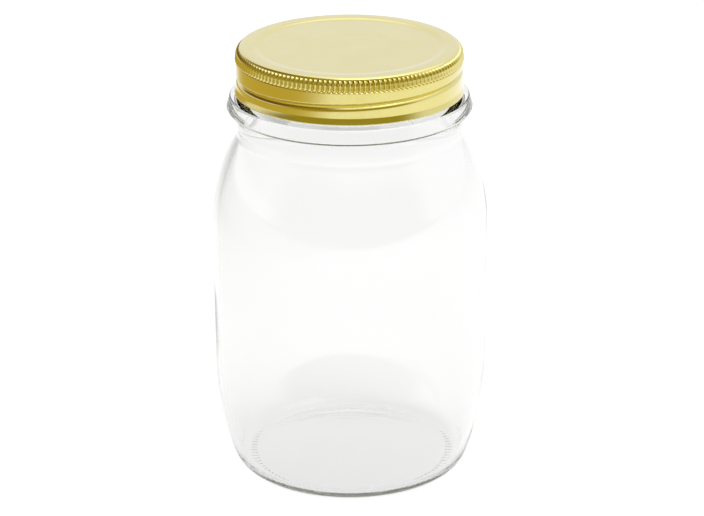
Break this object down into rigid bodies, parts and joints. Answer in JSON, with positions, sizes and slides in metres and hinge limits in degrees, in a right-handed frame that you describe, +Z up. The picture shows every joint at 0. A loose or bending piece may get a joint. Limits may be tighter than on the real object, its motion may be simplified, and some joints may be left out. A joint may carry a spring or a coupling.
{
  "type": "glass storage jar with screw cap",
  "caption": "Round clear glass jar with a soft shoulder, pushed-up base and threaded neck, closed by a pressed metal screw cap over a loose sealing liner.",
  "frame": {"origin": "middle of the surface that the jar stands on, on the jar's axis", "axes": "+Z up along the axis of the jar, its thread and its cap; -Y is the front"},
  "size_m": [0.0896, 0.0896, 0.1429],
  "materials": {
    "clear_glass": "clear, polished, faint waviness from the mould",
    "gold_lacquer": "satin gold lacquer on tinplate",
    "liner_board": "white faced pulp board, matt"
  },
  "bodies": {
    "jar": {"glass_jar": "clear_glass"},
    "liner": {"sealing_liner": "liner_board"},
    "cap": {"screw_cap": "gold_lacquer"}
  },
  "joints": [
    {"name": "cap_rise", "type": "slide", "parent": "jar", "child": "liner", "axis": [0, 0, 1], "range_m": [0, 0.0195]},
    {"name": "cap_turn", "type": "hinge", "parent": "liner", "child": "cap", "pos_m": [0, 0, 0.135], "axis": [0, 0, 1], "range_deg": [0, 1080]}
  ],
  "couplings": [
    {"joint": "cap_rise", "follows": "cap_turn", "m_per_rad": 0.0010106}
  ]
}
